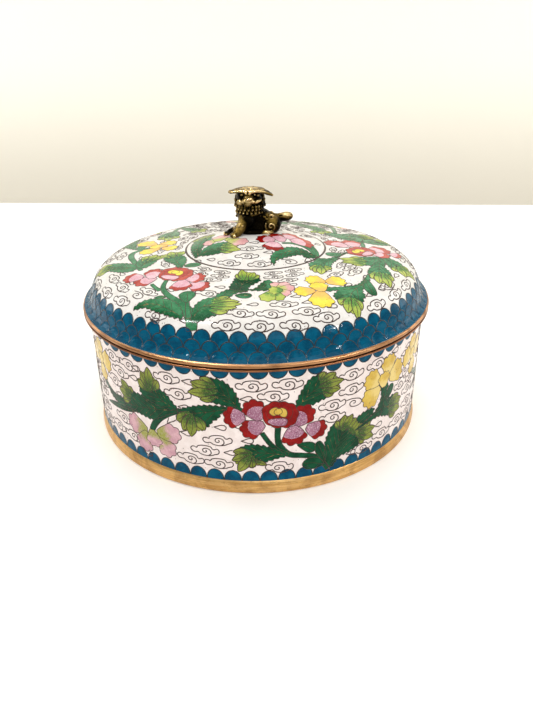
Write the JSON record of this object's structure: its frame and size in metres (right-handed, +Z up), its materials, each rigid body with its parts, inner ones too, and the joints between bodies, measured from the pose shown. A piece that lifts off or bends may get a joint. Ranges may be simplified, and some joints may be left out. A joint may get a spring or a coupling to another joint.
{
  "type": "cloisonne enamel box",
  "caption": "Round enamelled metal box with a domed lift-off lid, gilt rims and foot, and a cast lion as the lid's handle.",
  "frame": {"origin": "on the box's axis, at the underside of the foot band", "axes": "+Z up along the axis; the lion's head faces -Y and its tail lies towards +X"},
  "size_m": [0.1836, 0.1836, 0.1225],
  "materials": {
    "gilt_foot": "worn gilding, fine scratches",
    "gilt_rim": "coppery gilding, polished",
    "body_enamel": "glassy polished enamel, finely pitted",
    "lid_enamel": "glassy polished enamel, finely pitted",
    "dark_brass": "cast, dark patina worn bright on the high spots"
  },
  "bodies": {
    "root": {"foot_band": "gilt_foot", "box_body": "body_enamel", "mouth_ring": "gilt_rim", "lid_rim": "gilt_rim", "lid_shell": "lid_enamel", "lion_finial": "dark_brass"}
  },
  "joints": []
}
